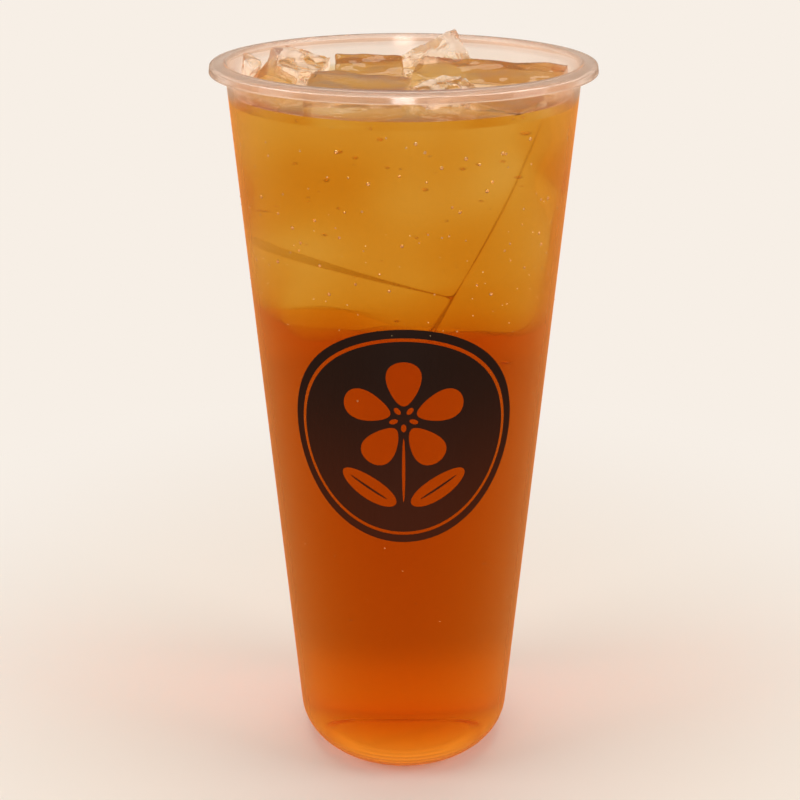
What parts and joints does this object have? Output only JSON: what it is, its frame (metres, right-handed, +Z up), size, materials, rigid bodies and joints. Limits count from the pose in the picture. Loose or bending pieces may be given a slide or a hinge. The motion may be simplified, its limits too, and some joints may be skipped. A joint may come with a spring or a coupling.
{
  "type": "jasmine iced tea",
  "caption": "Tall translucent plastic cup with a flat rim and rounded foot, full of amber iced tea and ice that stands out of it, with a dark round flower emblem on the front.",
  "frame": {"origin": "centre of the cup's foot, on the surface it stands on", "axes": "+Z up along the cup's axis, -Y towards the printed front, +X to the right of it"},
  "size_m": [0.09, 0.09, 0.1888],
  "materials": {
    "cup": "injection-moulded translucent polypropylene, softly frosted, with a smooth glossy rim",
    "tea": "clear amber tea, paler and cloudier where ice is sunk in it",
    "ice": "clear wet ice with sharp broken edges and white cracked cores",
    "ink": "thin dark brown screen-printed ink",
    "dew": "fine beads of condensation",
    "air": "small air bubbles in the tea"
  },
  "bodies": {
    "root": {"cup": "cup", "tea": "tea", "ice_back_peak": "ice", "ice_right_slab": "ice", "ice_left_peak": "ice", "ice_left_chunk": "ice", "ice_middle_slab": "ice", "ice_left_wedge": "ice", "ice_back_shard": "ice", "ice_front_slab": "ice", "ice_front_chunk": "ice", "ice_front_block": "ice"}
  },
  "joints": []
}
